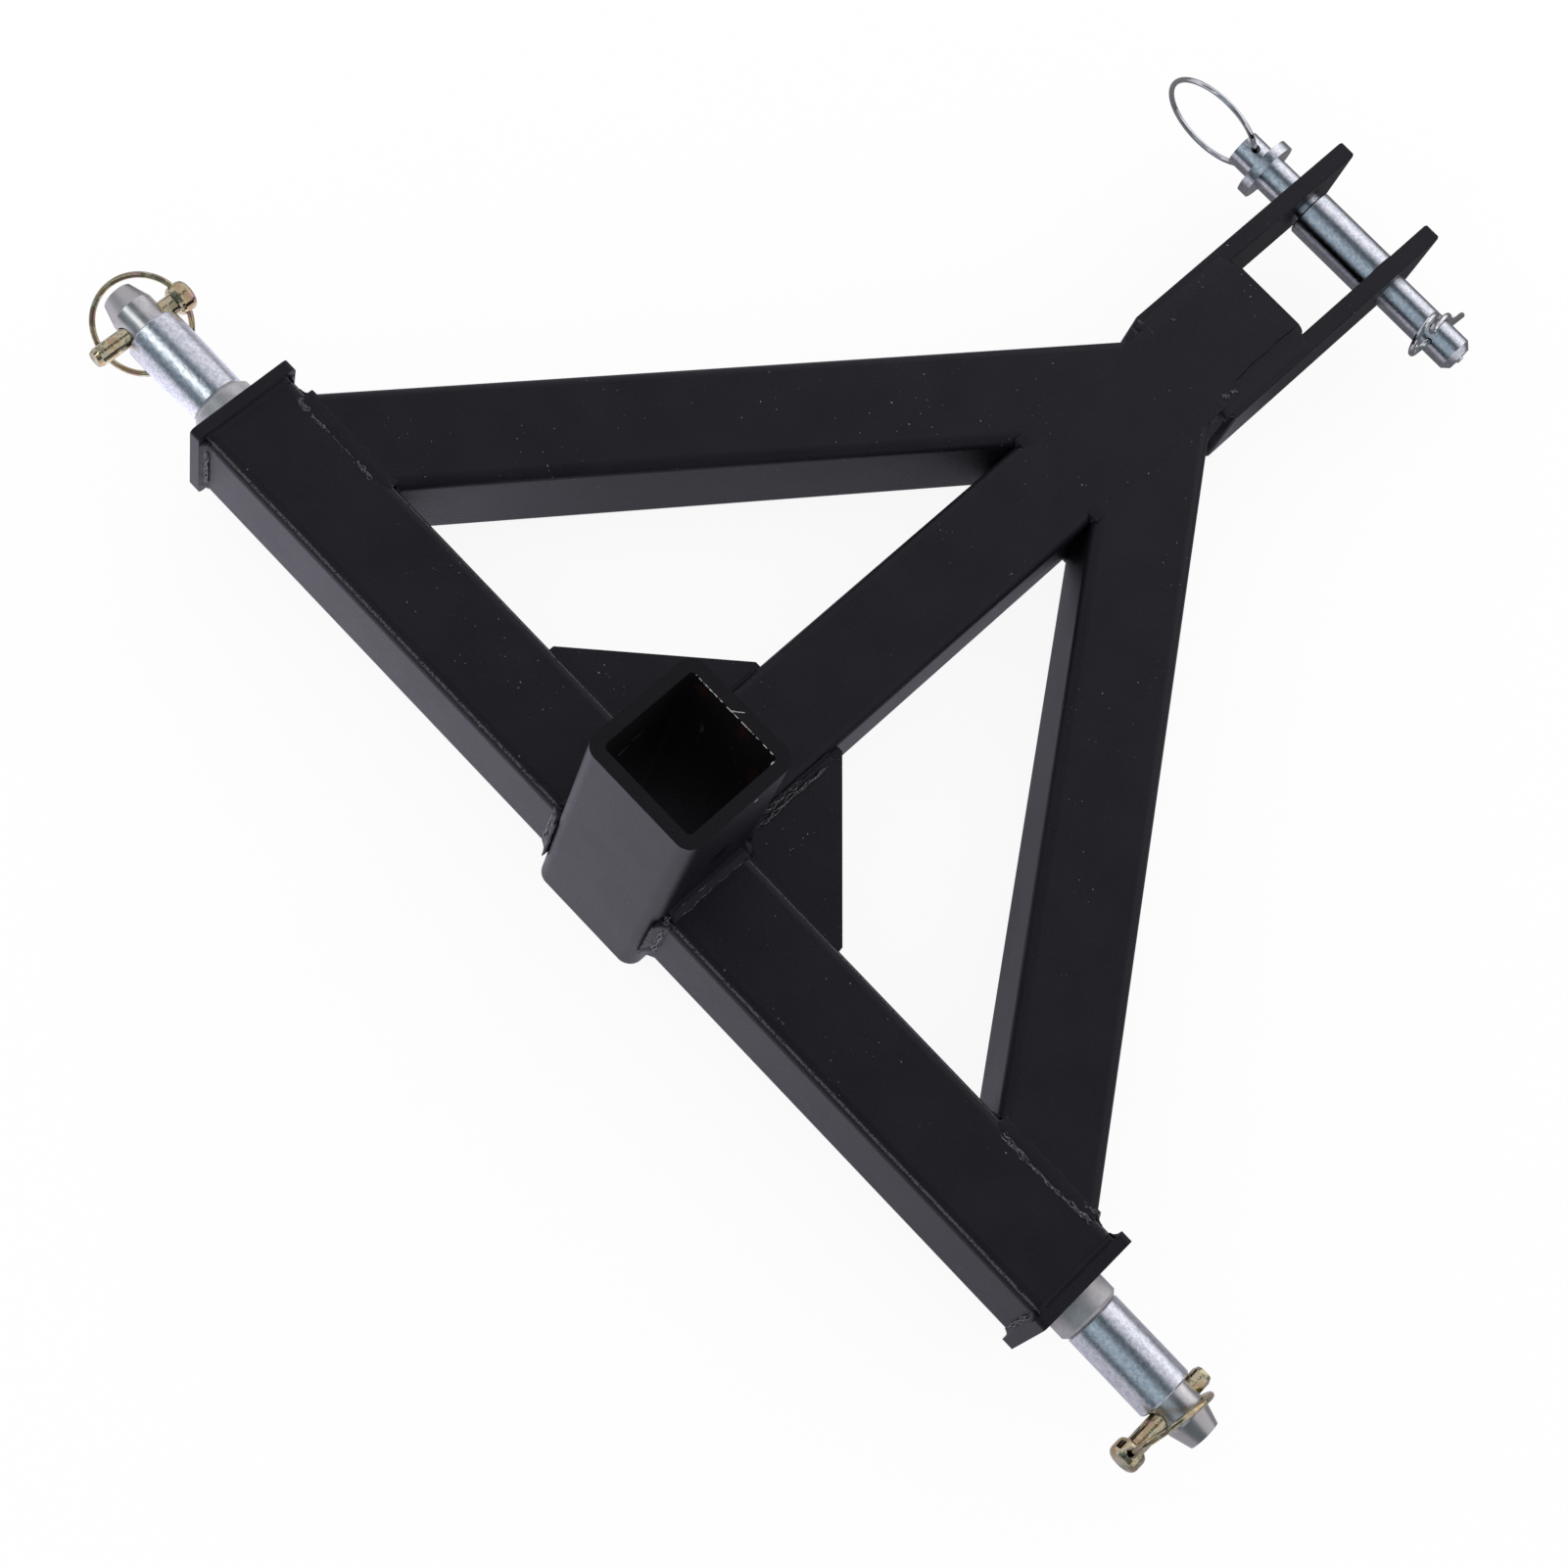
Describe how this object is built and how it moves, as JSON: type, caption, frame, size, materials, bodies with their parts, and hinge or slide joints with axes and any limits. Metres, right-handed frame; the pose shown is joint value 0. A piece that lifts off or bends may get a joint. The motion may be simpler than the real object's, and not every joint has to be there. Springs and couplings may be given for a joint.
{
  "type": "three point receiver hitch",
  "caption": "Welded square-tube A-frame for a three point linkage, with a square receiver tube, lower link pins with sleeves and linchpins, and a clevis with a pull-ring top pin.",
  "frame": {"origin": "middle of the lower pins' axis, on the receiver's axis, in the middle plane of the square tubes; the part lies on its back as pictured", "axes": "+X along the cross tube, +Y up the mast to the clevis, +Z along the receiver out of its mouth"},
  "size_m": [0.7206, 0.5649, 0.1695],
  "materials": {
    "black_coat": "satin powder coat",
    "plain_zinc": "dull zinc",
    "bright_zinc": "mottled bright zinc",
    "yellow_zinc": "yellow chromate"
  },
  "bodies": {
    "frame": {"cross_tube_left": "black_coat", "cross_tube_right": "black_coat", "end_cap_left": "black_coat", "end_cap_right": "black_coat", "mast": "black_coat", "brace_left": "black_coat", "brace_right": "black_coat", "clevis_ear_left": "black_coat", "clevis_ear_right": "black_coat", "gusset_left": "black_coat", "gusset_right": "black_coat", "receiver_tube": "black_coat", "lower_pin_left": "plain_zinc", "lower_pin_right": "plain_zinc", "linchpin_right": "yellow_zinc"},
    "lower_sleeve_left": {"lower_sleeve_left": "bright_zinc"},
    "lower_sleeve_right": {"lower_sleeve_right": "bright_zinc"},
    "top_sleeve": {"top_sleeve": "bright_zinc"},
    "top_pin": {"top_pin": "bright_zinc", "hairpin_clip": "bright_zinc"},
    "pull_ring": {"pull_ring": "bright_zinc"},
    "linchpin_left": {"linchpin_left": "yellow_zinc"},
    "linchpin_ring_left": {"linchpin_ring_left": "yellow_zinc"},
    "linchpin_ring_right": {"linchpin_ring_right": "yellow_zinc"}
  },
  "joints": [
    {"name": "lower_sleeve_left_spin", "type": "hinge", "parent": "frame", "child": "lower_sleeve_left", "pos_m": [-0.3081, 0, 0], "axis": [1, 0, 0], "continuous": true},
    {"name": "lower_sleeve_right_spin", "type": "hinge", "parent": "frame", "child": "lower_sleeve_right", "pos_m": [0.3081, 0, 0], "axis": [1, 0, 0], "continuous": true},
    {"name": "top_sleeve_spin", "type": "hinge", "parent": "frame", "child": "top_sleeve", "pos_m": [0.0013, 0.495, 0], "axis": [1, 0, 0], "continuous": true},
    {"name": "top_pin_slide", "type": "slide", "parent": "frame", "child": "top_pin", "axis": [1, 0, 0], "range_m": [-0.028, 0.0158]},
    {"name": "pull_ring_swing", "type": "hinge", "parent": "top_pin", "child": "pull_ring", "pos_m": [-0.063, 0.495, 0], "axis": [0, -0.196, 0.9806], "range_deg": [-130, 95]},
    {"name": "linchpin_left_draw", "type": "slide", "parent": "frame", "child": "linchpin_left", "axis": [0, 1, 0], "range_m": [-0.002, 0.036]},
    {"name": "linchpin_ring_left_swing", "type": "hinge", "parent": "linchpin_left", "child": "linchpin_ring_left", "pos_m": [-0.3369, 0.0218, 0], "axis": [0.9063, 0, -0.4226], "range_deg": [-6, 250]},
    {"name": "linchpin_ring_right_swing", "type": "hinge", "parent": "frame", "child": "linchpin_ring_right", "pos_m": [0.3369, -0.0314, 0], "axis": [0, 0, -1], "range_deg": [0, 200]}
  ]
}
